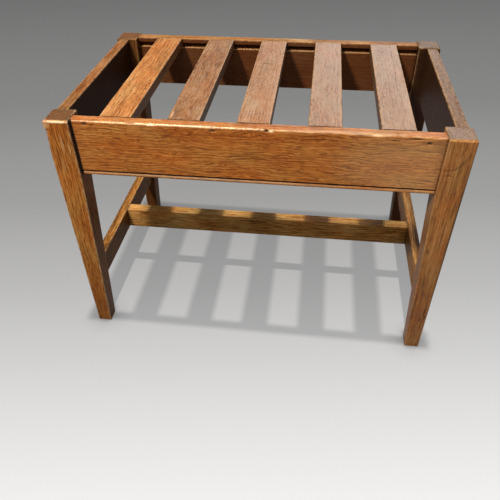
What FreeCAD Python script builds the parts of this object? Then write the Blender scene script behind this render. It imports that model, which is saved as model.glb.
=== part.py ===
import FreeCAD, Part
import os
from FreeCAD import Vector

# Luggage rack in oak, in millimetres: +Z up, front towards -Y, origin on the floor under the middle.

# Overall size, over the legs
rack_width = 660.0
rack_depth = 415.0
rack_height = 458.0

# Legs: square at the rails, then tapered on their two inner faces down to the foot
leg_top_size = 42.0
leg_foot_size = 27.0
leg_straight_below_rails = 10.0
leg_top_chamfer = 3.0
leg_foot_chamfer = 1.5

# Rails: boards on edge, set back from the outer faces of the legs and just below their tops
rail_height = 99.0
rail_thickness = 20.0
rail_setback = 6.0
rail_drop = 1.0
rail_arris_radius = 2.0

# Scratch bead along the lower outer edge of every rail, with its quirk above it
bead_radius = 4.0
quirk_width = 1.8

# Slats: flush with the tops of the rails, with a tongue at each end in the rails' groove
slat_count = 5
slat_width = 52.0
slat_thickness = 19.0
slat_arris_radius = 2.0
tongue_thickness = 10.0
tongue_length = 9.0
tongue_clearance = 0.2

# Stretchers: one at each side between the legs, and one across the middle
stretcher_top = 147.0
stretcher_height = 46.0
side_stretcher_thickness = 18.0
side_stretcher_setback = 7.0
centre_stretcher_thickness = 22.0

# Mortise and tenon joints
tenon_thickness = 8.0
rail_tenon_land = 3.0
mitre_gap = 1.0
stretcher_tenon_shoulder = 8.0
leg_mortise_wall = 11.0
stretcher_mortise_wall = 6.0
cheek_clearance = 0.1
end_clearance = 1.0

# Past this far a cut runs out of the wood that it cuts
overrun = 5.0
# Two places nearer than this are one place
same_place = 0.001

# Heights of the rails and of what meets them
rail_top = rack_height - rail_drop
rail_bottom = rail_top - rail_height
taper_start = rail_bottom - leg_straight_below_rails
slat_bottom = rail_top - slat_thickness
rail_tenon_top = slat_bottom - rail_tenon_land
rail_tenon_bottom = rail_bottom + 2 * bead_radius + quirk_width + rail_tenon_land

# Distances inwards from the outer faces of the legs
rail_inner = rail_setback + rail_thickness
rail_tenon_near = rail_setback + (rail_thickness - tenon_thickness) / 2
rail_tenon_far = rail_tenon_near + tenon_thickness
stretcher_inner = side_stretcher_setback + side_stretcher_thickness
stretcher_tenon_near = side_stretcher_setback + (side_stretcher_thickness - tenon_thickness) / 2
stretcher_tenon_far = stretcher_tenon_near + tenon_thickness

# Heights of the stretchers and their tenons
stretcher_bottom = stretcher_top - stretcher_height
stretcher_tenon_top = stretcher_top - stretcher_tenon_shoulder
stretcher_tenon_bottom = stretcher_bottom + stretcher_tenon_shoulder

# Spacing of the slats: equal gaps between each other and to the side rails
slat_clear_length = rack_depth - 2 * rail_inner
slat_gap = (rack_width - 2 * rail_inner - slat_count * slat_width) / (slat_count + 1)

corner = Vector(-rack_width / 2, -rack_depth / 2, 0)
along_x = Vector(1, 0, 0)
along_y = Vector(0, 1, 0)
along_z = Vector(0, 0, 1)


def box_between(low, high):
    """A box from its lowest corner to its highest."""
    size = high - low
    return Part.makeBox(size.x, size.y, size.z, low)


def prism(points, sweep):
    """A straight-sided outline swept along a vector."""
    return Part.Face(Part.makePolygon(points + points[:1])).extrude(sweep)


def line(start, end):
    return Part.LineSegment(start, end).toShape()


def rounded_arris(start, sharp, end):
    """A quarter circle in place of the sharp corner between two points at right angles to it."""
    centre = start + end - sharp
    outward = (sharp - centre).normalize()
    return Part.Arc(start, centre + outward * start.distanceToPoint(centre), end).toShape()


def flipped(shape, normal):
    """The same shape on the other side of the rack."""
    return shape.mirror(Vector(0, 0, 0), normal)


def edges_where(shape, test):
    return [edge for edge in shape.Edges if test(edge.CenterOfMass)]


def same(a, b):
    return abs(a - b) < same_place


def leg_inner_face(height):
    """How far the tapered inner face lies from the leg's outer face."""
    return leg_foot_size + (leg_top_size - leg_foot_size) * height / taper_start


def leg_blank():
    """A leg with its outer corner at the origin: the taper cut on one inner face, then on the other."""
    outline = [
        (0, 0),
        (leg_foot_size, 0),
        (leg_top_size, taper_start),
        (leg_top_size, rack_height),
        (0, rack_height),
    ]
    across = prism([Vector(u, 0, z) for u, z in outline], along_y * leg_top_size)
    deep = prism([Vector(0, u, z) for u, z in outline], along_x * leg_top_size)
    return across.common(deep).removeSplitter()


def leg_with_chamfers():
    """Wide chamfers on the outer top arrises, narrow ones down to the rails, and an eased foot."""
    leg = leg_blank()
    outer = edges_where(leg, lambda c: same(c.z, rack_height) and (same(c.x, 0) or same(c.y, 0)))
    leg = leg.makeChamfer(leg_top_chamfer, outer)
    inner = edges_where(
        leg, lambda c: same(c.z, rack_height) and (same(c.x, leg_top_size) or same(c.y, leg_top_size))
    )
    leg = leg.makeChamfer(rail_drop, inner)
    foot = edges_where(leg, lambda c: same(c.z, 0))
    return leg.makeChamfer(leg_foot_chamfer, foot)


def leg():
    """The front left leg, mortised for two rails, whose mortises meet, and for one stretcher."""
    low = rail_tenon_near - cheek_clearance
    high = rail_tenon_far + cheek_clearance
    bottom = rail_tenon_bottom - cheek_clearance
    top = rail_tenon_top + cheek_clearance
    out = leg_top_size + overrun
    front_rail_mortise = box_between(Vector(low, low, bottom), Vector(out, high, top))
    side_rail_mortise = box_between(Vector(low, low, bottom), Vector(high, out, top))
    stretcher_mortise = box_between(
        Vector(
            stretcher_tenon_near - cheek_clearance,
            leg_mortise_wall - end_clearance,
            stretcher_tenon_bottom - cheek_clearance,
        ),
        Vector(
            stretcher_tenon_far + cheek_clearance,
            out,
            stretcher_tenon_top + cheek_clearance,
        ),
    )
    solid = leg_with_chamfers().cut([front_rail_mortise, side_rail_mortise, stretcher_mortise])
    return solid.removeSplitter().translated(corner)


def rail_section(grooved):
    """A rail's section in the YZ plane: Y inwards from its outer face, Z up from its lower edge."""
    def at(y, z):
        return Vector(0, y, z)

    top = rail_height
    arris = rail_arris_radius
    bead_top = 2 * bead_radius
    face_start = bead_top + quirk_width
    groove_low = top - slat_thickness
    groove_high = groove_low + tongue_thickness + tongue_clearance
    groove_back = rail_thickness - tongue_length - end_clearance
    edges = [
        Part.Arc(at(bead_radius, 0), at(0, bead_radius), at(bead_radius, bead_top)).toShape(),
        line(at(bead_radius, bead_top), at(bead_radius, face_start)),
        line(at(bead_radius, face_start), at(0, face_start)),
        line(at(0, face_start), at(0, top - arris)),
        rounded_arris(at(0, top - arris), at(0, top), at(arris, top)),
        line(at(arris, top), at(rail_thickness - arris, top)),
        rounded_arris(
            at(rail_thickness - arris, top),
            at(rail_thickness, top),
            at(rail_thickness, top - arris),
        ),
    ]
    inside = [at(rail_thickness, top - arris)]
    if grooved:
        inside += [
            at(rail_thickness, groove_high),
            at(groove_back, groove_high),
            at(groove_back, groove_low),
            at(rail_thickness, groove_low),
        ]
    inside += [at(rail_thickness, 0), at(bead_radius, 0)]
    edges += [line(start, end) for start, end in zip(inside, inside[1:])]
    return Part.Face(Part.Wire(edges))


def mitred_tenon():
    """The front rail's tenon in the front left leg, cut at 45 degrees where the side rail's meets it."""
    root = leg_top_size + overrun
    plan = [
        (root, rail_tenon_near),
        (rail_tenon_near + mitre_gap, rail_tenon_near),
        (rail_tenon_far + mitre_gap, rail_tenon_far),
        (root, rail_tenon_far),
    ]
    height = along_z * (rail_tenon_top - rail_tenon_bottom)
    return prism([Vector(u, v, rail_tenon_bottom) for u, v in plan], height).translated(corner)


def front_rail():
    length = rack_width - 2 * leg_top_size
    body = rail_section(grooved=True).extrude(along_x * length)
    body.translate(Vector(-length / 2, corner.y + rail_setback, rail_bottom))
    tenon = mitred_tenon()
    return body.fuse([tenon, flipped(tenon, along_x)]).removeSplitter()


def left_rail():
    """Drawn along X, then turned a quarter so that its outer face looks left."""
    length = rack_depth - 2 * leg_top_size
    body = rail_section(grooved=False).extrude(along_x * length)
    body.rotate(Vector(0, 0, 0), along_z, -90)
    body.translate(Vector(corner.x + rail_setback, length / 2, rail_bottom))
    tenon = mitred_tenon().translated(-corner)
    tenon = flipped(tenon, along_x - along_y).translated(corner)
    return body.fuse([tenon, flipped(tenon, along_y)]).removeSplitter()


def slat(index):
    """One slat, counted from the left: rounded top arrises, and a tongue along its lower half."""
    left = corner.x + rail_inner + slat_gap + index * (slat_width + slat_gap)
    right = left + slat_width
    front = -slat_clear_length / 2
    arris = slat_arris_radius

    def at(x, z):
        return Vector(x, front, z)

    edges = [
        line(at(left, slat_bottom), at(left, rail_top - arris)),
        rounded_arris(at(left, rail_top - arris), at(left, rail_top), at(left + arris, rail_top)),
        line(at(left + arris, rail_top), at(right - arris, rail_top)),
        rounded_arris(at(right - arris, rail_top), at(right, rail_top), at(right, rail_top - arris)),
        line(at(right, rail_top - arris), at(right, slat_bottom)),
        line(at(right, slat_bottom), at(left, slat_bottom)),
    ]
    body = Part.Face(Part.Wire(edges)).extrude(along_y * slat_clear_length)
    tongue = box_between(
        Vector(left, front - tongue_length, slat_bottom),
        Vector(right, tongue_length - front, slat_bottom + tongue_thickness),
    )
    return body.fuse(tongue).removeSplitter()


def left_stretcher():
    """A side stretcher: shoulders that follow the legs' taper, and a mortise for the centre stretcher."""
    outer = corner.x + side_stretcher_setback
    front_low = corner.y + leg_inner_face(stretcher_bottom)
    front_high = corner.y + leg_inner_face(stretcher_top)
    outline = [
        Vector(outer, front_low, stretcher_bottom),
        Vector(outer, -front_low, stretcher_bottom),
        Vector(outer, -front_high, stretcher_top),
        Vector(outer, front_high, stretcher_top),
    ]
    body = prism(outline, along_x * side_stretcher_thickness)
    tenon_front = corner.y + leg_mortise_wall
    tenons = box_between(
        Vector(corner.x + stretcher_tenon_near, tenon_front, stretcher_tenon_bottom),
        Vector(corner.x + stretcher_tenon_far, -tenon_front, stretcher_tenon_top),
    )
    half_mortise = tenon_thickness / 2 + cheek_clearance
    mortise = box_between(
        Vector(
            outer + stretcher_mortise_wall - end_clearance,
            -half_mortise,
            stretcher_tenon_bottom - cheek_clearance,
        ),
        Vector(
            outer + side_stretcher_thickness + overrun,
            half_mortise,
            stretcher_tenon_top + cheek_clearance,
        ),
    )
    return body.fuse(tenons).cut(mortise).removeSplitter()


def centre_stretcher():
    """The cross stretcher, shouldered against the side stretchers and tenoned into them."""
    left = corner.x + stretcher_inner
    half_body = centre_stretcher_thickness / 2
    body = box_between(Vector(left, -half_body, stretcher_bottom), Vector(-left, half_body, stretcher_top))
    tenon_left = corner.x + side_stretcher_setback + stretcher_mortise_wall
    half_tenon = tenon_thickness / 2
    tenons = box_between(
        Vector(tenon_left, -half_tenon, stretcher_tenon_bottom),
        Vector(-tenon_left, half_tenon, stretcher_tenon_top),
    )
    return body.fuse(tenons).removeSplitter()


def rack():
    """Every piece of the rack by its node's name."""
    pieces = {}
    pieces["leg_front_left"] = leg()
    pieces["leg_front_right"] = flipped(pieces["leg_front_left"], along_x)
    pieces["leg_back_left"] = flipped(pieces["leg_front_left"], along_y)
    pieces["leg_back_right"] = flipped(pieces["leg_front_right"], along_y)
    pieces["front_rail"] = front_rail()
    pieces["back_rail"] = flipped(pieces["front_rail"], along_y)
    pieces["left_rail"] = left_rail()
    pieces["right_rail"] = flipped(pieces["left_rail"], along_x)
    for index in range(slat_count):
        pieces[f"slat_{index + 1}"] = slat(index)
    pieces["left_stretcher"] = left_stretcher()
    pieces["right_stretcher"] = flipped(pieces["left_stretcher"], along_x)
    pieces["centre_stretcher"] = centre_stretcher()
    return pieces


os.makedirs("parts", exist_ok=True)
for name, shape in rack().items():
    shape.exportStep(f"parts/{name}.step")
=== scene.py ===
import math
from collections import namedtuple

import bmesh
import bpy
import numpy as np
from mathutils import Matrix, Vector, noise
from mathutils.bvhtree import BVHTree

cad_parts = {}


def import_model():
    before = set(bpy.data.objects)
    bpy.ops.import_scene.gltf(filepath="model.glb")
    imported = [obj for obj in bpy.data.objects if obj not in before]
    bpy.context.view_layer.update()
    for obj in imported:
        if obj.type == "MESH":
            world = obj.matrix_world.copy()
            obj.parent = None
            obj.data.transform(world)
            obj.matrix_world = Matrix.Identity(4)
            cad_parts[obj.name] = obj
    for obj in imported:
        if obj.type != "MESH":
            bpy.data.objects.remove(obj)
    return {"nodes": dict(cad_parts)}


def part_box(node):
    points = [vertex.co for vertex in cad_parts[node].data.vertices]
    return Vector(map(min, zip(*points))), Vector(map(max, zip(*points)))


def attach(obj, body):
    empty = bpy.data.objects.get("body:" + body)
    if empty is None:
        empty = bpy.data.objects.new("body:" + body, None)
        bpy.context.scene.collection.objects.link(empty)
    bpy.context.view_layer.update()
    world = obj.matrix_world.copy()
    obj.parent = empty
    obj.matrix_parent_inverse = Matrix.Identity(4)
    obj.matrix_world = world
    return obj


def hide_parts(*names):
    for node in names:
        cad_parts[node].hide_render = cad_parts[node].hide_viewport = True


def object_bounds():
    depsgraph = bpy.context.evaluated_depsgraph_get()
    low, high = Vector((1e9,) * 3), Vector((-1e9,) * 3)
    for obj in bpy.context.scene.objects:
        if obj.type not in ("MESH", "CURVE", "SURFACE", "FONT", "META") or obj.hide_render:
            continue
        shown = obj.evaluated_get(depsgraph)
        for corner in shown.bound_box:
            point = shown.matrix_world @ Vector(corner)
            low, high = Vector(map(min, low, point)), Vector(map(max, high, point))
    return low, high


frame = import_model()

# An old oak luggage rack, in metres. Every member keeps its place and size, and gets worn arrises,
# dents and a grain of its own.

cad_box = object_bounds()
X, Y, Z = range(3)
SIDES = 6
CM_PER_METRE = 100
MM_PER_METRE = 1000

# Camera, as the photograph was taken
CAMERA_AT = (0.0918, -0.9153, 0.8307)
CAMERA_YAW = math.radians(7.76)
CAMERA_DOWN = math.radians(40.41)
CAMERA_ROLL = math.radians(-0.95)
CAMERA_FOCAL_PIXELS = 525.3
IMAGE_PIXELS = 500
SENSOR_WIDTH = 36.0

# How finely a member is cut up before it is worn
STEP_ALONG = 0.005
STEP_ACROSS = 0.012
ARRIS_CUTS = (0.0007, 0.0015, 0.0026, 0.0042, 0.007)
MARK_CUTS = 9
WELD = 1e-6
SLIVER = 1e-5
OUTER_FACE_SHARE = 0.012
FLATNESS = 0.0002
FACE_DIGITS = 2
SMOOTH_BELOW = math.radians(34)

# How far the wear reaches, and how the noise is shifted from one member to the next
FACE_WAVE = 0.00018
FACE_WAVE_LENGTH = 0.08
ARRIS_WAVE_LENGTH = 0.022
ARRIS_REACH = 0.0028
# How far dirt and painted shade reach from where members meet
GRIME_AND_SHADE_REACH = 0.0032
WAVE_SHIFT = (7.1, 3.3, 5.7)
GRAIN_SHIFT_MM = 1370

# Marks of use, and painted shade and highlights: the middle, to the right, back and up from the middle of
# the member's front top edge, the reach along x, y and z, how far the surface is pushed in, how dark (dirt
# and painted shade) or how pale (wear and painted light) it is, the share of the reach that is full, and
# how ragged its edge is
Mark = namedtuple(
    "Mark",
    "place reach push dirt wear full ragged",
    defaults=((0, 0, 0), 0.0, 0.0, 0.35, 0.6),
)
LEG_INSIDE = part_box("leg_front_right")[0].x
MARKS = {
    "front_rail": [
        # The worn top arris with a painted highlight along it, pale stretches on the right, and dark joints
        # with the legs
        Mark((-0.115, 0, 0), (0.235, 0.0030, 0.0026), wear=1.0, full=0.4, ragged=1.3),
        # Partly wear, partly a painted sheen on the top towards the right
        Mark((0.150, 0.0035, 0), (0.110, 0.0060, 0.0030), wear=0.2),
        # Painted light: the right end of the face made paler, where the lamp reaches it less
        Mark((0.260, 0, -0.052), (0.170, 0.0100, 0.0800), wear=0.12),
        # Dirt and painted shade at the joints with the legs, widest on the left, where the leg's shadow
        # falls on the set-back rail
        Mark((-LEG_INSIDE, 0, -0.049), (0.0048, 0.005, 0.140), dirt=1.0, full=0.8, ragged=0.1),
        Mark((LEG_INSIDE, 0, -0.049), (0.0026, 0.005, 0.140), dirt=0.55, full=0.6, ragged=0.2),
        # Nicks along the top arris, from left to right
        Mark((-0.264, 0, -0.005), (0.007, 0.004, 0.0035), (0, 0.0014, -0.0004), dirt=0.8),
        Mark((-0.252, 0, -0.0065), (0.005, 0.004, 0.0025), (0, 0.0008, 0), dirt=0.5),
        Mark((-0.189, 0.001, 0), (0.008, 0.004, 0.0040), (0, 0.0006, -0.0012), dirt=0.4),
        Mark((-0.158, 0.0005, -0.0005), (0.012, 0.004, 0.0040), (0, 0.0006, -0.0010), wear=1.0),
        Mark((-0.061, 0, -0.0065), (0.008, 0.004, 0.0030), (0, 0.0014, -0.0004), dirt=0.7),
        Mark((0.022, 0.0005, -0.002), (0.0045, 0.005, 0.0040), (0, 0.0018, -0.0010), dirt=1.0),
        Mark((0.029, 0, -0.0025), (0.0050, 0.004, 0.0030), (0, 0.0004, 0), wear=1.0),
        Mark((0.187, 0.001, -0.0005), (0.016, 0.005, 0.0040), (0, 0.0006, -0.0012), wear=0.5),
        Mark((0.214, 0, -0.008), (0.010, 0.004, 0.0020), (0, 0.0006, 0), dirt=0.6),
        Mark((0.244, 0, -0.004), (0.014, 0.004, 0.0025), (0, 0.0008, -0.0004), dirt=0.7),
        Mark((0.263, 0, -0.0105), (0.005, 0.004, 0.0030), (0, 0.0014, 0), dirt=0.9),
        # The bead worn pale on the left, with a painted highlight on its upper half
        Mark((-0.080, 0.0005, -0.0938), (0.350, 0.0040, 0.0020), wear=0.28),
    ],
    "back_rail": [
        # Dirt and painted shade in the groove, and its lower edge made pale: dust and wear with a painted
        # highlight
        Mark((0, 0.011, -0.013), (0.600, 0.0045, 0.0070), dirt=1.0),
        Mark((0, 0.0025, -0.019), (0.600, 0.0060, 0.0012), wear=0.9),
    ],
    "left_rail": [],
    "right_rail": [
        Mark((0.009, 0.1145, 0), (0.004, 0.005, 0.004), (-0.0014, 0, -0.0016), dirt=0.8),
    ],
    "leg_front_left": [
        # The top arris worn pale, with a painted highlight on its chamfer, the pale wood above the
        # splinter, its dark upper edge, and scratches below
        Mark((0.001, 0.0005, -0.002), (0.026, 0.0030, 0.0034), wear=0.75, ragged=1.0),
        Mark((-0.018, 0.0025, -0.007), (0.010, 0.012, 0.0095), wear=0.3),
        Mark((-0.017, 0.0025, -0.0152), (0.008, 0.010, 0.0012), dirt=0.8),
        Mark((0.003, 0, -0.040), (0.0022, 0.004, 0.022), wear=0.22),
        Mark((0.013, 0, -0.049), (0.0020, 0.004, 0.016), wear=0.18),
        Mark((-0.004, 0, -0.082), (0.0022, 0.004, 0.018), wear=0.15),
    ],
    "leg_front_right": [
        # Painted shade along the right arris, a painted highlight along the left, and scratches from the
        # top down
        Mark((0.021, 0, -0.168), (0.0060, 0.006, 0.240), dirt=0.75, full=0.2),
        Mark((-0.021, 0, -0.053), (0.0022, 0.004, 0.050), wear=0.35),
        Mark((-0.009, 0, -0.061), (0.009, 0.004, 0.0014), (0, 0.0004, 0), dirt=0.6),
        Mark((0.0125, 0, -0.124), (0.0026, 0.004, 0.026), dirt=0.5),
        Mark((0.0063, 0, -0.182), (0.0024, 0.004, 0.050), dirt=0.5),
        Mark((-0.0100, 0, -0.2115), (0.0024, 0.004, 0.007), dirt=0.6),
        Mark((-0.003, 0, -0.280), (0.0020, 0.004, 0.030), dirt=0.6),
        Mark((-0.0075, 0, -0.343), (0.0024, 0.004, 0.080), dirt=0.6),
        Mark((0.0135, 0, -0.358), (0.0022, 0.004, 0.012), dirt=0.65),
        Mark((0.0165, 0, -0.373), (0.0020, 0.004, 0.008), dirt=0.65),
        Mark((0.0090, 0, -0.379), (0.0020, 0.004, 0.008), dirt=0.6),
    ],
    "slat_1": [],
    "slat_2": [
        Mark((-0.017, 0.0305, 0), (0.0026, 0.020, 0.002), (0, 0, -0.0006), dirt=0.6),
        Mark((-0.021, 0.0245, 0), (0.0024, 0.016, 0.002), wear=0.9),
    ],
    "slat_3": [
        Mark((-0.004, 0.2505, 0), (0.012, 0.0022, 0.002), (0, 0, -0.0005), dirt=0.6),
    ],
}

# The quirk beside the bead, on the outer face of every rail, darkened with dirt and painted shade
QUIRK_DOWN = 0.0906
QUIRK_IN = 0.003
QUIRK_SPREAD = 0.0060
QUIRK_HEIGHT = 0.0022
QUIRK_REACHES = {"front_rail": 0.900, "back_rail": 0.900, "left_rail": 0.600, "right_rail": 0.600}

# Dark flecks strewn over the first slat
FLECKS = 18
FLECK_MIDDLE = (0.006, 0.1245)
FLECK_SPREAD = (0.042, 0.080)
FLECK_STEPS = (0.7549, 0.5698)
FLECK_REACH = (0.0018, 0.0050, 0.002)

# Fine saw marks at the front end of the middle slat
SAW_MARKS = 9
SAW_MARK_FIRST = -0.024
SAW_MARK_STEP = 0.0045
SAW_MARK_BACK = 0.0405
SAW_MARK_REACH = (0.0012, 0.018, 0.002)

# A dark line that curves up across the front right leg, where the grain passes an old branch
CURVE_DOTS = 25
CURVE_START = (-0.017, -0.0515)
CURVE_RUN = 0.0315
CURVE_RISE = 0.0285
CURVE_POWER = 3
CURVE_REACH = (0.0036, 0.004, 0.0030)

# The splinter off the outer arris of the front left leg: deepest at its top, and out to nothing below
SPLINTER_NODE = "leg_front_left"
SPLINTER_DOWN = 0.015
SPLINTER_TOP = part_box(SPLINTER_NODE)[1].z - SPLINTER_DOWN
SPLINTER_LENGTH = 0.055
SPLINTER_DEPTH = 0.0060
SPLINTER_STEP = 0.0004


def quirk(node, reach_along):
    """Dirt and painted shade along the quirk of a rail."""
    low, high = (np.array(corner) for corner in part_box(node))
    size = high - low
    across, along = np.argsort(size[:Z])
    place = np.array([0, size[Y] / 2, -QUIRK_DOWN])
    place[across] += np.sign(low[across]) * (size[across] / 2 - QUIRK_IN)
    reach = np.full(3, QUIRK_HEIGHT)
    reach[across] = QUIRK_SPREAD
    reach[along] = reach_along
    return Mark(tuple(place.tolist()), tuple(reach.tolist()), dirt=1.0, full=0.75, ragged=0.15)


def fleck(index):
    """One of the flecks, at an even but unordered place."""
    right, back = (
        middle + spread * (index * step % 1 - 0.5)
        for middle, spread, step in zip(FLECK_MIDDLE, FLECK_SPREAD, FLECK_STEPS)
    )
    return Mark((right, back, 0), FLECK_REACH, dirt=0.55)


def saw_mark(index):
    """One of the saw marks, which lie side by side."""
    return Mark((SAW_MARK_FIRST + index * SAW_MARK_STEP, SAW_MARK_BACK, 0), SAW_MARK_REACH, dirt=0.35)


def curve_dot(share):
    """One dot of the curve, at a share of its run."""
    right, up = CURVE_START
    place = (right + CURVE_RUN * share, 0, up + CURVE_RISE * share ** CURVE_POWER)
    return Mark(place, CURVE_REACH, dirt=0.5, full=0.0, ragged=0.5)


for rail, reach_along in QUIRK_REACHES.items():
    MARKS[rail].append(quirk(rail, reach_along))
MARKS["slat_1"] += [fleck(index) for index in range(FLECKS)]
MARKS["slat_3"] += [saw_mark(index) for index in range(SAW_MARKS)]
MARKS["leg_front_right"] += [curve_dot(share) for share in np.linspace(0, 1, CURVE_DOTS)]


def marks_on(node):
    """The marks of a member, at their places in the frame."""
    low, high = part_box(node)
    edge = np.array([(low.x + high.x) / 2, low.y, high.z])
    return [mark._replace(place=tuple((edge + mark.place).tolist())) for mark in MARKS.get(node, [])]


def dents_on(node):
    """The marks of a member that are pushed in."""
    return [mark for mark in marks_on(node) if any(mark.push)]


def as_array(mesh):
    """A mesh's vertices as rows of x, y and z."""
    points = np.zeros(len(mesh.vertices) * 3, np.float32)
    mesh.vertices.foreach_get("co", points)
    return points.reshape(-1, 3).astype(float)


def outer_faces(mesh):
    """The large flat faces that no other part of the member stands in front of, as normals and offsets."""
    points = as_array(mesh)
    found = {}
    for polygon in mesh.polygons:
        normal = np.array(polygon.normal)
        offset = normal @ np.array(polygon.center)
        key = tuple(np.round([*normal, offset * CM_PER_METRE], FACE_DIGITS))
        found.setdefault(key, []).append((polygon.area, normal, offset))
    least = OUTER_FACE_SHARE * sum(polygon.area for polygon in mesh.polygons)
    faces = []
    for parts in found.values():
        _, normal, offset = max(parts, key=lambda part: part[0])
        if sum(part[0] for part in parts) > least and (points @ normal).max() < offset + FLATNESS:
            faces.append((normal, offset))
    return faces


def cut(work, point, normal):
    everything = [*work.verts, *work.edges, *work.faces]
    bmesh.ops.bisect_plane(work, geom=everything, dist=WELD, plane_co=point, plane_no=normal)


def cut_places(node, axis, step):
    """Where a member is cut along an axis: at even steps, and closer together at its dents."""
    low, high = (corner[axis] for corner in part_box(node))
    places = list(np.linspace(low, high, math.ceil((high - low) / step) + 1))
    for mark in dents_on(node):
        places += list(mark.place[axis] + mark.reach[axis] * np.linspace(-1, 1, MARK_CUTS))
    if node == SPLINTER_NODE and axis == Z:
        places += [SPLINTER_TOP, SPLINTER_TOP + SPLINTER_STEP]
    elif node == SPLINTER_NODE:
        places += list(np.linspace(low, low + SPLINTER_DEPTH, MARK_CUTS))
    return [place for place in sorted(set(places)) if low + WELD < place < high - WELD]


def finely_cut(node, faces, grain_axis):
    """A copy of a node's mesh, cut across its grain and close to its arrises."""
    work = bmesh.new()
    work.from_mesh(frame["nodes"][node].data)
    bmesh.ops.remove_doubles(work, verts=work.verts, dist=WELD)
    for axis in (X, Y, Z):
        direction = Vector([float(axis == other) for other in (X, Y, Z)])
        for place in cut_places(node, axis, STEP_ALONG if axis == grain_axis else STEP_ACROSS):
            cut(work, direction * place, direction)
    for normal, offset in faces:
        for depth in ARRIS_CUTS:
            cut(work, Vector(normal * (offset - depth)), Vector(normal))
    mesh = bpy.data.meshes.new(node + "_oak")
    work.to_mesh(mesh)
    work.free()
    if "custom_normal" in mesh.attributes:
        mesh.attributes.remove(mesh.attributes["custom_normal"])
    return mesh


def waves(points, length, seed):
    """Smooth noise between -1 and 1 at each point."""
    shift = Vector([seed * step for step in WAVE_SHIFT])
    return np.array([noise.noise(Vector(point) / length + shift) for point in points])


def behind_faces(points, faces):
    """How far each point lies behind the outer face on each of the six sides, and that face's normal."""
    depth = np.full((len(points), SIDES), np.inf)
    normals = np.zeros((len(points), SIDES, 3))
    for normal, offset in faces:
        axis = int(np.argmax(abs(normal)))
        side = 2 * axis + int(normal[axis] > 0)
        gap = offset - points @ normal
        nearer = gap < depth[:, side]
        depth[nearer, side] = gap[nearer]
        normals[nearer, side] = normal
    return depth, normals


def rounded_over(points, depth, normals, radius):
    """Every arris between two outer faces pressed in to at least this radius."""
    press = np.clip(radius[:, None] - depth, 0, None)
    length = np.linalg.norm(press, axis=1)
    excess = 1 - radius / np.maximum(length, radius)
    return points - np.einsum("ij,ijk->ik", press * excess[:, None], normals)


def faces_waved(points, depth, normals, seed):
    """The faces a little uneven, as planed by hand."""
    sink = FACE_WAVE * (1 + waves(points, FACE_WAVE_LENGTH, seed)) / 2
    return points - np.einsum("ij,ijk->ik", (depth < FLATNESS) * sink[:, None], normals)


def dented(node, points):
    """The points with the member's dents pressed in."""
    for mark in dents_on(node):
        away = np.linalg.norm((points - np.array(mark.place)) / np.array(mark.reach), axis=1)
        points = points + np.clip(1 - away * away, 0, None)[:, None] * np.array(mark.push)
    return points


def splintered(points):
    """The outer arris of the front left leg without its splinter."""
    low = np.array(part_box(SPLINTER_NODE)[0])
    below = (SPLINTER_TOP - points[:, Z]) / SPLINTER_LENGTH
    under_top = points[:, Z] < SPLINTER_TOP + WELD
    depth = SPLINTER_DEPTH * np.clip(1 - below, 0, None) * under_top
    missing = np.clip(depth - (points[:, :Z] - low[:Z]).sum(axis=1), 0, None)
    return points + missing[:, None] / 2 * np.array([1, 1, 0])


def worn_points(node, sharp, depth, normals, look, seed):
    """A member's points with rounded arrises, uneven faces, dents and the splinter."""
    radius = look["ease"] + look["ease_wave"] * (1 + waves(sharp, ARRIS_WAVE_LENGTH, seed)) / 2
    points = rounded_over(sharp, depth, normals, radius)
    points = faces_waved(points, depth, normals, seed)
    points = dented(node, points)
    return splintered(points) if node == SPLINTER_NODE else points


def grime_and_shade_near(points, node):
    """How close each point lies to another member, where dirt collects and painted shade is put: 1 where
    they meet.
    """
    vertices, polygons = [], []
    for name, other in frame["nodes"].items():
        if name != node:
            start = len(vertices)
            vertices += [vertex.co for vertex in other.data.vertices]
            polygons += [[start + index for index in polygon.vertices] for polygon in other.data.polygons]
    tree = BVHTree.FromPolygons(vertices, polygons)
    gaps = np.array([tree.find_nearest(Vector(point))[3] for point in points])
    return np.exp(-gaps / GRIME_AND_SHADE_REACH)


def grain_places(node, points, grain_axis, pith, seed):
    """Each point in the member's own grain, in millimetres: along it, and two ways across from its pith."""
    low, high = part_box(node)
    middle = np.array((low + high) / 2)
    local = (points - middle) * MM_PER_METRE
    along = local[:, grain_axis] + seed * GRAIN_SHIFT_MM
    side = local[:, (grain_axis + 1) % 3] + pith[0]
    deep = local[:, (grain_axis + 2) % 3] + pith[1]
    return np.stack([along, side, deep], axis=1)


def add_attribute(mesh, name, kind, field, values):
    attribute = mesh.attributes.new(name, kind, "POINT")
    attribute.data.foreach_set(field, np.asarray(values, np.float32).ravel())


def in_triangles(mesh):
    """The worn mesh cut into triangles, without the slivers that the wear leaves."""
    work = bmesh.new()
    work.from_mesh(mesh)
    bmesh.ops.dissolve_degenerate(work, dist=SLIVER, edges=work.edges)
    bmesh.ops.triangulate(work, faces=work.faces)
    work.to_mesh(mesh)
    work.free()


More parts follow.
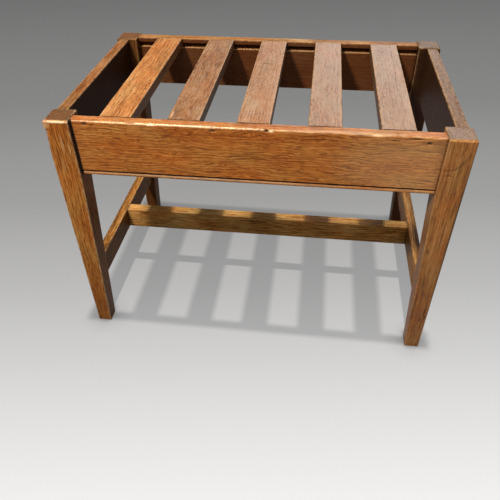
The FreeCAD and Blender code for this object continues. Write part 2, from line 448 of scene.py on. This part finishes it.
def worn_mesh(node, look, grain_axis, seed):
    """A member's mesh with its wear, and with its grain, arrises, and grime with painted shade as
    attributes.
    """
    faces = outer_faces(frame["nodes"][node].data)
    mesh = finely_cut(node, faces, grain_axis)
    sharp = as_array(mesh)
    depth, normals = behind_faces(sharp, faces)
    points = worn_points(node, sharp, depth, normals, look, seed)
    mesh.vertices.foreach_set("co", points.astype(np.float32).ravel())

    arris = np.exp(-np.sort(depth, axis=1)[:, 1] / ARRIS_REACH)
    grime_and_shade = grime_and_shade_near(sharp, node) * look["grime_and_shade"]
    grain = grain_places(node, sharp, grain_axis, look["pith"], seed)
    add_attribute(mesh, "grain", "FLOAT_VECTOR", "vector", grain)
    add_attribute(mesh, "arris", "FLOAT", "value", arris)
    add_attribute(mesh, "grime_and_shade", "FLOAT", "value", grime_and_shade)
    in_triangles(mesh)
    mesh.shade_smooth()
    mesh.set_sharp_from_angle(angle=SMOOTH_BELOW)
    return mesh


def worn_member(node, look, seed):
    """One member of the rack with its wear, its grain and its finish, in place of its CAD node."""
    low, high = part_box(node)
    grain_axis = int(np.argmax(np.array(high - low)))
    mesh = worn_mesh(node, look, grain_axis, seed)
    mesh.materials.append(oak(node, look, grain_axis))
    piece = bpy.data.objects.new(node + "_worn", mesh)
    bpy.context.scene.collection.objects.link(piece)
    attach(piece, "root")
    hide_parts(node)
    return piece


# The sockets of a mix node that carry its factor and its colours
MIX_FACTOR = 0
MIX_FIRST = 6
MIX_SECOND = 7
MIX_RESULT = 2


def new_tree(name):
    """A new material with an empty node tree."""
    material = bpy.data.materials.new(name)
    material.use_nodes = True
    material.node_tree.nodes.clear()
    return material, material.node_tree


def add(tree, kind, inputs=None, **settings):
    """A node with its settings, its inputs set to numbers or linked to other nodes' outputs."""
    node = tree.nodes.new(kind)
    for name, value in settings.items():
        setattr(node, name, value)
    for name, value in (inputs or {}).items():
        if isinstance(value, bpy.types.NodeSocket):
            tree.links.new(value, node.inputs[name])
        else:
            node.inputs[name].default_value = value
    return node


def number(tree, operation, *values):
    return add(tree, "ShaderNodeMath", dict(enumerate(values)), operation=operation).outputs[0]


def product(tree, first, second):
    return number(tree, "MULTIPLY", first, second)


def vector(tree, operation, *values):
    node = add(tree, "ShaderNodeVectorMath", dict(enumerate(values)), operation=operation)
    return node.outputs["Value" if operation in ("LENGTH", "DOT_PRODUCT") else "Vector"]


def split(tree, value):
    """The x, y and z of a vector."""
    return add(tree, "ShaderNodeSeparateXYZ", {0: value}).outputs


def own_place(tree):
    """Places in the object's own frame, which is the rack's."""
    return add(tree, "ShaderNodeTexCoord").outputs["Object"]


def stored(tree, name, output="Fac"):
    """An attribute of the mesh."""
    return add(tree, "ShaderNodeAttribute", attribute_name=name).outputs[output]


def blended(tree, factor, first, second, blend="MIX"):
    """Two colours mixed."""
    inputs = {MIX_FACTOR: factor, MIX_FIRST: first, MIX_SECOND: second}
    node = add(tree, "ShaderNodeMix", inputs, data_type="RGBA", blend_type=blend)
    return node.outputs[MIX_RESULT]


def eased(tree, value, low, high, start=0.0, end=1.0):
    """start where the value is at or under low, end where it is at or over high, and smooth between."""
    inputs = {"Value": value, "From Min": low, "From Max": high, "To Min": start, "To Max": end}
    node = add(tree, "ShaderNodeMapRange", inputs, interpolation_type="SMOOTHSTEP")
    return node.outputs["Result"]


def summed(tree, start, *weighted, middle=0.5):
    """A start value plus each value about its middle times its weight."""
    total = start
    for value, weight in weighted:
        centred = number(tree, "SUBTRACT", value, middle)
        total = number(tree, "MULTIPLY_ADD", centred, weight, total)
    return total


def cloud(tree, place, stretch, detail=2.0):
    """Noise at a place, which the stretch scales to cycles."""
    scaled = vector(tree, "MULTIPLY", place, stretch)
    return add(tree, "ShaderNodeTexNoise", {"Vector": scaled, "Scale": 1.0, "Detail": detail})


def opaque(colour):
    return (*colour, 1.0)


def ramp(tree, value, stops):
    """A colour for each value between the stops."""
    node = add(tree, "ShaderNodeValToRGB", {"Fac": value})
    elements = node.color_ramp.elements
    while len(elements) < len(stops):
        elements.new(0.5)
    for element, (position, colour) in zip(elements, stops):
        element.position = position
        element.color = opaque(colour)
    return node.outputs["Color"]


# Colours of old oak, with the dark of its dirt and painted shade and the grey of its bloom and painted
# sheen
OAK_SHADES = {
    "dark": (0.150, 0.044, 0.008),
    "mid": (0.420, 0.150, 0.033),
    "light": (0.620, 0.280, 0.090),
    "pore": (0.100, 0.030, 0.006),
    "dirt": (0.016, 0.007, 0.003),
    "bloom_and_sheen": (0.340, 0.225, 0.165),
}
TONE_STOPS = ((0.0, "dark"), (0.5, "mid"), (1.0, "light"))
HUE_STOPS = ((0.3, (1.0, 0.86, 0.70)), (0.5, (1, 1, 1)), (0.7, (0.96, 1.10, 1.20)))

# The slow bends and the small ripples of the grain, in cycles per millimetre along and across it
BENDS = {"wander": (0.006, 0.03, 0.03), "ripple": (0.022, 0.08, 0.08)}

# The clouds that make up the figure: cycles per millimetre, detail, and whether they bend with the grain
Cloud = namedtuple("Cloud", "stretch detail bends", defaults=(2.0, True))
CLOUDS = {
    "streaks": Cloud((0.018, 0.66, 0.66)),
    "fibres": Cloud((0.025, 1.2, 1.2)),
    "pores": Cloud((0.05, 0.8, 0.8), detail=1.0),
    "patches": Cloud((0.009, 0.025, 0.025)),
    "mottle": Cloud((0.10, 0.24, 0.24), detail=3.0, bends=False),
    "specks": Cloud((0.30, 0.55, 0.55), detail=3.0, bends=False),
    "hue": Cloud((0.013, 0.03, 0.03), detail=1.0, bends=False),
}

# The rays: a cloud along the grain, out from the pith and around it, where a radian counts as RAY_TURN
RAYS = Cloud((0.07, 0.16, 1.5), detail=1.0)
RAY_TURN = 80.0

# Two values between which something changes, and its strength at each of them where that isn't 0 and 1
FIGURE_LEVELS = {"streaks": (0.35, 0.65), "pores": (0.56, 0.68), "rays": (0.56, 0.72)}
EARLY_IN_RING = (0.0, 0.6, 1.0, 0.0)
EARLY_BY_YEAR = (0.0, 1.0, 0.35, 1.0)
PORES_BY_EARLY = (0.0, 0.7, 0.45, 1.0)
# The bloom carries a painted sheen, the stain painted shade, the wear painted light and the dirt painted
# shade
BLOOM_AND_SHEEN_BY_MOTTLE = (0.35, 0.65)
BLOOM_AND_SHEEN_BY_FACING = (0.5, 0.95)
STAIN_AND_SHADE_BY_FACING = (0.5, 0.9)
END_BY_FACING = (0.75, 0.95)
DARKER_BELOW_BY_FIBRES = (0.35, 0.65, 1.5, 0.5)
WEAR_AND_LIGHT_BY_MOTTLE = (0.30, 0.70, 0.45, 1.1)
WEAR_AND_LIGHT_BY_ARRIS = (0.12, 0.8)
DIRT_AND_SHADE_BY_MOTTLE = (0.25, 0.7, 1.0, 0.6)

# End grain: how much of it shows, and its speckle from pores to paler wood
END_SHARE = 0.85
END_SPECKLE = (0.3, 0.5, 0.7)
END_PALER = 1.5

# Legs are darker towards the floor, up to this height
DARKER_BELOW_HEIGHT = 0.36

# What makes the surface rougher, and what gives it relief
ROUGH_FIBRES = 0.15
ROUGH_MOTTLE = 0.25
ROUGH_PORES = 0.15
ROUGH_DIRT_AND_SHADE = 0.25
ROUGH_END = 0.10
RELIEF_FIBRES = 0.35
RELIEF_STREAKS = 0.12
RELIEF_MOTTLE = 0.4
RELIEF_PORES = -0.6
RELIEF_STRENGTH = 0.7
RELIEF_DEPTH = 0.0004


def bent_grain(tree, look):
    """Places in the grain, in millimetres, straight and with its bends and ripples."""
    grain = stored(tree, "grain", "Vector")
    place = grain
    for bend, stretch in BENDS.items():
        reach = look[bend]
        shift = cloud(tree, grain, stretch).outputs["Color"]
        shift = vector(tree, "MULTIPLY_ADD", shift, (0, reach, reach), (0, -reach / 2, -reach / 2))
        place = vector(tree, "ADD", place, shift)
    return grain, place


def early_wood(tree, from_pith, look):
    """The inner side of each year's ring, stronger in some years than in others."""
    ring = number(tree, "DIVIDE", from_pith, look["ring"])
    year = {"W": number(tree, "FLOOR", ring)}
    strength = add(tree, "ShaderNodeTexWhiteNoise", year, noise_dimensions="1D").outputs["Value"]
    early = eased(tree, number(tree, "FRACT", ring), *EARLY_IN_RING)
    return product(tree, early, eased(tree, strength, *EARLY_BY_YEAR))


def oak_rays(tree, place, from_pith):
    """The rays that run out from the pith."""
    along, side, deep = split(tree, place)
    around = product(tree, number(tree, "ARCTAN2", deep, side), RAY_TURN)
    polar = add(tree, "ShaderNodeCombineXYZ", {0: along, 1: from_pith, 2: around}).outputs[0]
    return cloud(tree, polar, RAYS.stretch, RAYS.detail).outputs["Fac"]


def oak_figure(tree, look):
    """The parts of the grain at each place, each between 0 and 1."""
    grain, place = bent_grain(tree, look)
    from_pith = vector(tree, "LENGTH", vector(tree, "MULTIPLY", place, (0, 1, 1)))
    figure = {"early": early_wood(tree, from_pith, look), "rays": oak_rays(tree, place, from_pith)}
    for part, (stretch, detail, bends) in CLOUDS.items():
        figure[part] = cloud(tree, place if bends else grain, stretch, detail).outputs["Fac"]
    for part, levels in FIGURE_LEVELS.items():
        figure[part] = eased(tree, figure[part], *levels)
    figure["pores"] = product(tree, figure["pores"], eased(tree, figure["early"], *PORES_BY_EARLY))
    return figure


def oak_wood(tree, look, figure):
    """The colour of the bare wood."""
    parts = ("streaks", "fibres", "patches", "mottle")
    tone = summed(tree, look["tone"], *((figure[part], look[part]) for part in parts))
    tone = number(tree, "MULTIPLY_ADD", figure["early"], -look["rings"], tone)
    stops = [
        (position, [part * tint for part, tint in zip(OAK_SHADES[shade], look["tint"])])
        for position, shade in TONE_STOPS
    ]
    colour = ramp(tree, tone, stops)
    ray_share = product(tree, figure["rays"], look["rays"])
    colour = blended(tree, ray_share, colour, opaque(stops[-1][1]))
    pore_share = product(tree, figure["pores"], look["pores"])
    colour = blended(tree, pore_share, colour, opaque(OAK_SHADES["pore"]))
    return blended(tree, 1.0, colour, ramp(tree, figure["hue"], HUE_STOPS), "MULTIPLY")


def with_bloom_and_sheen(tree, colour, look, figure, facing):
    """With a grey bloom in blotches on top: partly dust, partly a painted sheen."""
    bloom_and_sheen = product(tree, eased(tree, figure["mottle"], *BLOOM_AND_SHEEN_BY_MOTTLE), look["bloom_and_sheen"])
    bloom_and_sheen = product(tree, eased(tree, facing[Z], *BLOOM_AND_SHEEN_BY_FACING), bloom_and_sheen)
    return blended(tree, bloom_and_sheen, colour, opaque(OAK_SHADES["bloom_and_sheen"]))


def with_end_grain(tree, colour, look, figure, end_grain):
    """With speckled end grain."""
    paler = [part * END_PALER for part in look["end"]]
    stops = zip(END_SPECKLE, (OAK_SHADES["pore"], look["end"], paler))
    end = ramp(tree, figure["specks"], list(stops))
    return blended(tree, product(tree, end_grain, END_SHARE), colour, end)


def stained_and_shaded(tree, colour, look, facing):
    """With a dark stain and painted shade on the sides that the look names."""
    for axis, sign in look["stained_and_shaded_sides"]:
        share = eased(tree, product(tree, facing[axis], sign), *STAIN_AND_SHADE_BY_FACING, 0.0, look["stain_and_shade"])
        colour = blended(tree, share, colour, opaque(look["stain_and_shade_colour"]))
    return colour


def darker_below(tree, colour, look, figure):
    """Darker towards the floor."""
    share = eased(tree, split(tree, own_place(tree))[Z], 0.0, DARKER_BELOW_HEIGHT, look["darker_below"], 0.0)
    share = product(tree, share, eased(tree, figure["fibres"], *DARKER_BELOW_BY_FIBRES))
    return blended(tree, share, colour, opaque(OAK_SHADES["dark"]))


def marked(tree, node, specks, part):
    """How strongly the member's marks show at each place: their dirt and painted shade, or their wear and
    painted light.
    """
    place = own_place(tree)
    strongest = 0.0
    for mark in marks_on(node):
        if getattr(mark, part):
            away = vector(tree, "DIVIDE", vector(tree, "SUBTRACT", place, mark.place), mark.reach)
            away = summed(tree, vector(tree, "LENGTH", away), (specks, mark.ragged))
            shown = eased(tree, away, mark.full, 1.0, getattr(mark, part), 0.0)
            strongest = number(tree, "MAXIMUM", strongest, shown)
    return strongest


def pale_with_wear_and_light(tree, colour, node, look, figure):
    """Pale where the arrises and the marks are worn, and where highlights and light are painted."""
    worn = product(tree, stored(tree, "arris"), eased(tree, figure["mottle"], *WEAR_AND_LIGHT_BY_MOTTLE))
    worn = product(tree, eased(tree, worn, *WEAR_AND_LIGHT_BY_ARRIS), look["wear"])
    worn = number(tree, "MAXIMUM", worn, marked(tree, node, figure["specks"], "wear"))
    return blended(tree, worn, colour, opaque(look["worn"]))


def dirt_and_shade_on(tree, node, figure):
    """How dark each place is made: dirt and painted shade in the joints, and the dark marks, some dirt and
    some painted shade.
    """
    dirt = product(tree, stored(tree, "grime_and_shade"), eased(tree, figure["mottle"], *DIRT_AND_SHADE_BY_MOTTLE))
    return number(tree, "MAXIMUM", dirt, marked(tree, node, figure["specks"], "dirt"))


def oak_colour(tree, node, look, figure, facing, end_grain, dirt):
    """The wood with all that the years have done to it, and with its painted shade, sheen and highlights.
    """
    colour = oak_wood(tree, look, figure)
    colour = with_bloom_and_sheen(tree, colour, look, figure, facing)
    colour = with_end_grain(tree, colour, look, figure, end_grain)
    colour = stained_and_shaded(tree, colour, look, facing)
    colour = darker_below(tree, colour, look, figure)
    colour = pale_with_wear_and_light(tree, colour, node, look, figure)
    return blended(tree, dirt, colour, opaque(OAK_SHADES["dirt"]))


def oak_roughness(tree, look, figure, end_grain, dirt):
    """The wax, duller in the fibres, the pores, the end grain, and where dirt and painted shade lie."""
    rough = summed(
        tree, look["rough"], (figure["fibres"], ROUGH_FIBRES), (figure["mottle"], ROUGH_MOTTLE)
    )
    added = ((figure["pores"], ROUGH_PORES), (dirt, ROUGH_DIRT_AND_SHADE), (end_grain, ROUGH_END))
    return summed(tree, rough, *added, middle=0.0)


def oak_relief(tree, figure):
    """The surface normal, with raised fibres and open pores."""
    parts = (("fibres", RELIEF_FIBRES), ("streaks", RELIEF_STREAKS), ("mottle", RELIEF_MOTTLE))
    height = summed(tree, 0.5, *((figure[part], weight) for part, weight in parts))
    height = number(tree, "MULTIPLY_ADD", figure["pores"], RELIEF_PORES, height)
    inputs = {"Height": height, "Strength": RELIEF_STRENGTH, "Distance": RELIEF_DEPTH}
    return add(tree, "ShaderNodeBump", inputs).outputs["Normal"]


def oak(node, look, grain_axis):
    """Old waxed oak."""
    material, tree = new_tree(node + "_oak")
    figure = oak_figure(tree, look)
    facing = split(tree, add(tree, "ShaderNodeNewGeometry").outputs["Normal"])
    end_grain = eased(tree, number(tree, "ABSOLUTE", facing[grain_axis]), *END_BY_FACING)
    dirt = dirt_and_shade_on(tree, node, figure)
    inputs = {
        "Base Color": oak_colour(tree, node, look, figure, facing, end_grain, dirt),
        "Roughness": oak_roughness(tree, look, figure, end_grain, dirt),
        "Normal": oak_relief(tree, figure),
        "Specular IOR Level": look["gloss"],
    }
    shader = add(tree, "ShaderNodeBsdfPrincipled", inputs)
    add(tree, "ShaderNodeOutputMaterial", {"Surface": shader.outputs[0]})
    return material


# How a member looks: how strong each part of the figure is, in what tint, how glossy and how worn, and how
# much painted sheen, shade and highlight it carries. The ring, the bends of the grain and the place of the
# pith are in millimetres, and the eased arrises in metres
OAK = {
    "tint": (1.0, 1.0, 1.0),
    "tone": 0.60,
    "rings": 0.30,
    "ring": 3.4,
    "wander": 9.0,
    "ripple": 4.0,
    "streaks": 0.42,
    "fibres": 0.6,
    "patches": 0.9,
    "mottle": 0.6,
    "pores": 0.5,
    "rays": 0.22,
    "bloom_and_sheen": 0.0,
    "worn": (0.640, 0.360, 0.160),
    "wear": 0.6,
    "end": (0.130, 0.066, 0.034),
    "rough": 0.46,
    "gloss": 0.2,
    "ease": 0.0012,
    "ease_wave": 0.0010,
    "pith": (70.0, 45.0),
    "grime_and_shade": 0.85,
    "stained_and_shaded_sides": (),
    "stain_and_shade": 0.8,
    "stain_and_shade_colour": (0.030, 0.010, 0.004),
    "darker_below": 0.0,
}
KINDS = {
    "oak_leg": {
        "tint": (1.02, 0.96, 0.72),
        "ripple": 6.0,
        "streaks": 0.66,
        "fibres": 0.9,
        "pores": 0.6,
        "gloss": 0.1,
        "wear": 0.35,
        "darker_below": 0.45,
    },
    "oak_rail": {
        "tint": (1.06, 0.92, 0.66),
        "patches": 0.6,
        "ease": 0.0020,
        "ease_wave": 0.0016,
        "wear": 0.45,
        "grime_and_shade": 0.5,
    },
    "oak_slat": {
        "fibres": 1.0,
        "gloss": 0.5,
        "grime_and_shade": 0.2,
        "wear": 0.4,
        # The sides of the slats are darker: a stain with painted shade between the slats
        "stained_and_shaded_sides": ((X, 1), (X, -1)),
        "stain_and_shade": 0.6,
    },
    "oak_stretcher": {
        "tint": (1.25, 1.58, 1.65),
        "streaks": 0.75,
        "fibres": 0.9,
        "pores": 0.7,
        "gloss": 0.08,
        "wear": 0.4,
    },
}
# A pale cream for worn arrises, which also carries painted highlights on them
CREAM = (0.98, 0.80, 0.50)
LOOKS = {
    "leg_front_left": {
        "worn": CREAM,
        "end": (0.10, 0.055, 0.030),
        "stained_and_shaded_sides": ((X, 1),),
        "stain_and_shade": 0.35,
    },
    "leg_front_right": {
        "pith": (45.0, -70.0),
        "tint": (0.94, 0.96, 0.92),
        "darker_below": 0.35,
        "ring": 6.0,
        "ripple": 3.0,
        "streaks": 0.4,
        "fibres": 0.8,
        "pores": 0.32,
        "gloss": 0.3,
        # Greyish end grain on the top, with a painted sheen in it
        "end": (0.22, 0.165, 0.132),
    },
    "leg_back_left": {"pith": (-60.0, 50.0), "stained_and_shaded_sides": ((X, 1), (Y, -1)), "stain_and_shade": 0.75},
    "leg_back_right": {
        "pith": (55.0, 80.0),
        "gloss": 0.12,
        "tint": (0.60, 0.66, 0.8),
        # Greyish end grain on the top, with a painted sheen in it
        "end": (0.20, 0.150, 0.118),
        "stained_and_shaded_sides": ((X, -1), (Y, -1)),
        "stain_and_shade": 0.95,
    },
    "front_rail": {
        "pith": (12.0, 150.0),
        "tone": 0.65,
        "ring": 5.0,
        "rings": 0.45,
        "ripple": 13.0,
        "streaks": 0.58,
        "fibres": 1.0,
        "bloom_and_sheen": 0.3,
        "ease_wave": 0.0022,
        "worn": CREAM,
        "wear": 0.3,
        "stained_and_shaded_sides": ((Y, 1),),
    },
    "back_rail": {
        "pith": (-14.0, 120.0),
        "tint": (0.92, 1.12, 1.4),
        "ease_wave": 0.0008,
        "stained_and_shaded_sides": ((Y, -1),),
        "stain_and_shade": 0.85,
        "stain_and_shade_colour": (0.090, 0.020, 0.006),
        "gloss": 0.1,
    },
    "left_rail": {
        "pith": (130.0, 14.0),
        "tint": (0.66, 0.72, 1.0),
        "gloss": 0.05,
        "stained_and_shaded_sides": ((X, 1),),
        "stain_and_shade": 0.95,
    },
    "right_rail": {
        "pith": (-140.0, 12.0),
        "tint": (0.42, 0.50, 0.8),
        "gloss": 0.14,
        "bloom_and_sheen": 0.3,
        "ease_wave": 0.0008,
        "stained_and_shaded_sides": ((X, -1),),
        "stain_and_shade": 0.9,
    },
    "slat_1": {
        "pith": (60.0, 30.0),
        "tint": (1.08, 1.12, 1.28),
        "streaks": 0.46,
        "pores": 0.3,
        "gloss": 0.3,
    },
    "slat_2": {
        "pith": (-90.0, 10.0),
        "tint": (0.69, 0.79, 1.15),
        "streaks": 0.46,
        "pores": 0.3,
        "bloom_and_sheen": 0.25,
    },
    "slat_3": {
        "pith": (50.0, -60.0),
        "tint": (0.82, 0.98, 1.6),
        "streaks": 0.3,
        "pores": 0.3,
        "bloom_and_sheen": 0.35,
    },
    "slat_4": {
        "pith": (80.0, 25.0),
        "tint": (0.74, 0.95, 1.7),
        "streaks": 0.24,
        "pores": 0.22,
        "bloom_and_sheen": 0.5,
    },
    "slat_5": {
        "pith": (-70.0, -35.0),
        "tint": (0.70, 0.92, 1.6),
        "streaks": 0.24,
        "pores": 0.22,
        "bloom_and_sheen": 0.5,
    },
    "left_stretcher": {
        "pith": (60.0, 30.0),
        "tint": (0.85, 0.95, 0.9),
        "stained_and_shaded_sides": ((X, 1),),
        "stain_and_shade": 0.6,
    },
    "right_stretcher": {"pith": (-50.0, 60.0), "tint": (0.80, 0.90, 0.95)},
    "centre_stretcher": {"pith": (40.0, 70.0)},
}


def slot_of(node):
    """The kind of oak finish for a member, by what kind of member it is."""
    return "oak_" + next(kind for kind in ("leg", "rail", "slat", "stretcher") if kind in node)


# The floor as it lies in the photograph: its paleness at shares of the way from near to far
FLOOR_HALF = 9.0
FLOOR_AWAY = (-math.sin(CAMERA_YAW), math.cos(CAMERA_YAW), 0)
FLOOR_NEAR = -0.6
FLOOR_FAR = 2.2
FLOOR_STOPS = (
    (0.00, 0.955),
    (0.12, 0.660),
    (0.19, 0.520),
    (0.31, 0.370),
    (0.53, 0.255),
    (1.00, 0.185),
)
FLOOR_BOUNCE = 0.16
FLOOR_GLOW = 1.44
FLOOR_GLOW_SHARE = 0.45

# The shadow where something stands on the floor: how far it reaches, and how much of the glow it takes
CONTACT_REACH = 0.045
CONTACT_SHARE = 0.8

# Lamps. All of them light the rack, and one lights the floor too
Lamp = namedtuple("Lamp", "place width height power colour lights_floor", defaults=(False,))
LAMPS = {
    "main": Lamp((-0.8, -1.3, 2.3), 0.25, 0.25, 52.0, (1.0, 0.94, 0.84)),
    "overhead": Lamp((0.03, -0.16, 7.0), 0.20, 0.20, 260.0, (1.0, 0.98, 0.95), lights_floor=True),
    "front": Lamp((0.5, -2.5, 1.1), 1.6, 1.2, 8.5, (1.0, 0.94, 0.86)),
    "back": Lamp((0.66, 2.5, 1.5), 1.5, 0.75, 16.0, (0.93, 0.97, 1.0)),
}

# The sky's light, and the grey that is seen beyond the floor
WORLD_COLOUR = (1.0, 0.97, 0.92)
WORLD_LIGHT = 0.05
WORLD_SHOWN = 0.16
WHITE = (1.0, 1.0, 1.0)


def seen_directly(tree):
    """1 for what the camera sees, in the open, in a gloss or through glass."""
    path = add(tree, "ShaderNodeLightPath").outputs
    seen = number(tree, "MAXIMUM", path["Is Camera Ray"], path["Is Glossy Ray"])
    return number(tree, "MAXIMUM", seen, path["Is Transmission Ray"])


def floor_glow(tree):
    """How strongly the floor glows: less close to what stands on it."""
    inputs = {"Distance": CONTACT_REACH}
    open_share = add(tree, "ShaderNodeAmbientOcclusion", inputs).outputs["AO"]
    taken = FLOOR_GLOW * CONTACT_SHARE
    return number(tree, "MULTIPLY_ADD", open_share, taken, FLOOR_GLOW - taken)


def floor_material():
    """A plain floor, pale in front and greyer with distance, that keeps a soft shadow."""
    material, tree = new_tree("floor")
    distance = vector(tree, "DOT_PRODUCT", own_place(tree), FLOOR_AWAY)
    inputs = {"Value": distance, "From Min": FLOOR_NEAR, "From Max": FLOOR_FAR}
    share = add(tree, "ShaderNodeMapRange", inputs).outputs["Result"]
    shade = ramp(tree, share, [(at, (pale,) * 3) for at, pale in FLOOR_STOPS])
    matt = add(tree, "ShaderNodeBsdfDiffuse", {"Color": shade})
    glow = add(tree, "ShaderNodeEmission", {"Color": shade, "Strength": floor_glow(tree)})
    inputs = {0: FLOOR_GLOW_SHARE, 1: matt.outputs[0], 2: glow.outputs[0]}
    shown = add(tree, "ShaderNodeMixShader", inputs)
    bounce = add(tree, "ShaderNodeBsdfDiffuse", {"Color": opaque((FLOOR_BOUNCE,) * 3)})
    inputs = {0: seen_directly(tree), 1: bounce.outputs[0], 2: shown.outputs[0]}
    surface = add(tree, "ShaderNodeMixShader", inputs)
    add(tree, "ShaderNodeOutputMaterial", {"Surface": surface.outputs[0]})
    return material


def floor():
    mesh = bpy.data.meshes.new("floor")
    far = FLOOR_HALF
    mesh.from_pydata([(-far, -far, 0), (far, -far, 0), (far, far, 0), (-far, far, 0)], [], [(0, 1, 2, 3)])
    mesh.materials.append(floor_material())
    plane = bpy.data.objects.new("floor", mesh)
    bpy.context.scene.collection.objects.link(plane)


def area_light(name, lamp, lit):
    """A soft box that faces the rack, and lights only the pieces of the lit collection if there is one."""
    data = bpy.data.lights.new(name, "AREA")
    data.shape = "RECTANGLE"
    data.size = lamp.width
    data.size_y = lamp.height
    data.energy = lamp.power
    data.color = lamp.colour
    light = bpy.data.objects.new(name, data)
    light.location = lamp.place
    aim = Vector((0, 0, cad_box[1].z)) - Vector(lamp.place)
    light.rotation_euler = aim.to_track_quat("-Z", "Y").to_euler()
    light.visible_camera = False
    light.light_linking.receiver_collection = lit
    bpy.context.scene.collection.objects.link(light)


def world():
    scene_world = bpy.data.worlds.new("studio")
    bpy.context.scene.world = scene_world
    scene_world.use_nodes = True
    tree = scene_world.node_tree
    tree.nodes.clear()
    fill = add(tree, "ShaderNodeBackground", {"Color": opaque(WORLD_COLOUR), "Strength": WORLD_LIGHT})
    shown = add(tree, "ShaderNodeBackground", {"Color": opaque(WHITE), "Strength": WORLD_SHOWN})
    inputs = {0: seen_directly(tree), 1: fill.outputs[0], 2: shown.outputs[0]}
    both = add(tree, "ShaderNodeMixShader", inputs)
    add(tree, "ShaderNodeOutputWorld", {"Surface": both.outputs[0]})


def camera():
    data = bpy.data.cameras.new("camera")
    data.sensor_width = SENSOR_WIDTH
    data.lens = SENSOR_WIDTH * CAMERA_FOCAL_PIXELS / IMAGE_PIXELS
    view = bpy.data.objects.new("camera", data)
    turn = Matrix.Rotation(CAMERA_YAW, 4, "Z")
    tip = Matrix.Rotation(math.pi / 2 - CAMERA_DOWN, 4, "X")
    roll = Matrix.Rotation(CAMERA_ROLL, 4, "Z")
    view.matrix_world = Matrix.Translation(CAMERA_AT) @ turn @ tip @ roll
    bpy.context.scene.collection.objects.link(view)
    bpy.context.scene.camera = view


rack = bpy.data.collections.new("rack")
for seed, (node, changes) in enumerate(LOOKS.items()):
    slot = slot_of(node)
    rack.objects.link(worn_member(node, {**OAK, **KINDS[slot], **changes}, seed))
floor()
for name, lamp in LAMPS.items():
    area_light(name, lamp, None if lamp.lights_floor else rack)
world()
camera()
bpy.context.scene.view_settings.view_transform = "Standard"
